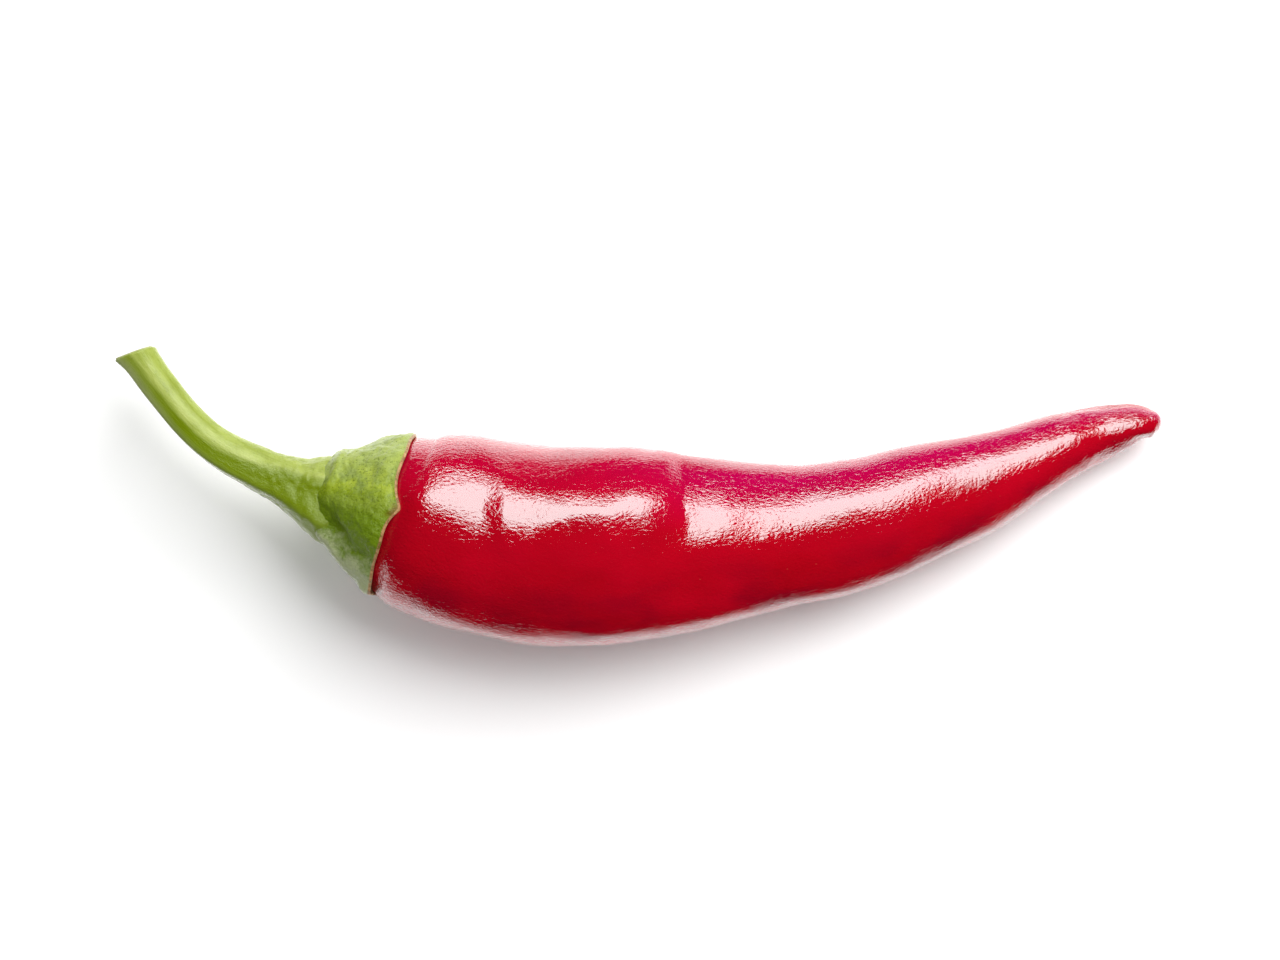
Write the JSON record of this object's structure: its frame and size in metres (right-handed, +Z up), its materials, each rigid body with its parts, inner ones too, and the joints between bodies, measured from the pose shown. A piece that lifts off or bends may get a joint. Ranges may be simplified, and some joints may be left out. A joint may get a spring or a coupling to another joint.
{
  "type": "chilli pepper",
  "caption": "Curved red chilli pepper with a lobed green calyx and a bent green stem, lying on its side as picked.",
  "frame": {"origin": "bottom centre of the whole chilli's box, on the surface it lies on", "axes": "+X from the stem to the tip, +Y towards the side that both ends curve to, +Z up from the surface"},
  "size_m": [0.1247, 0.0357, 0.0224],
  "materials": {
    "pod_skin": "glossy waxy red skin with fine crazing in the highlights",
    "calyx_green": "matt mottled green leaf cap with a thin cream edge",
    "stem_green": "satin ridged green stalk"
  },
  "bodies": {
    "root": {"pod": "pod_skin", "calyx": "calyx_green", "stem": "stem_green"}
  },
  "joints": []
}
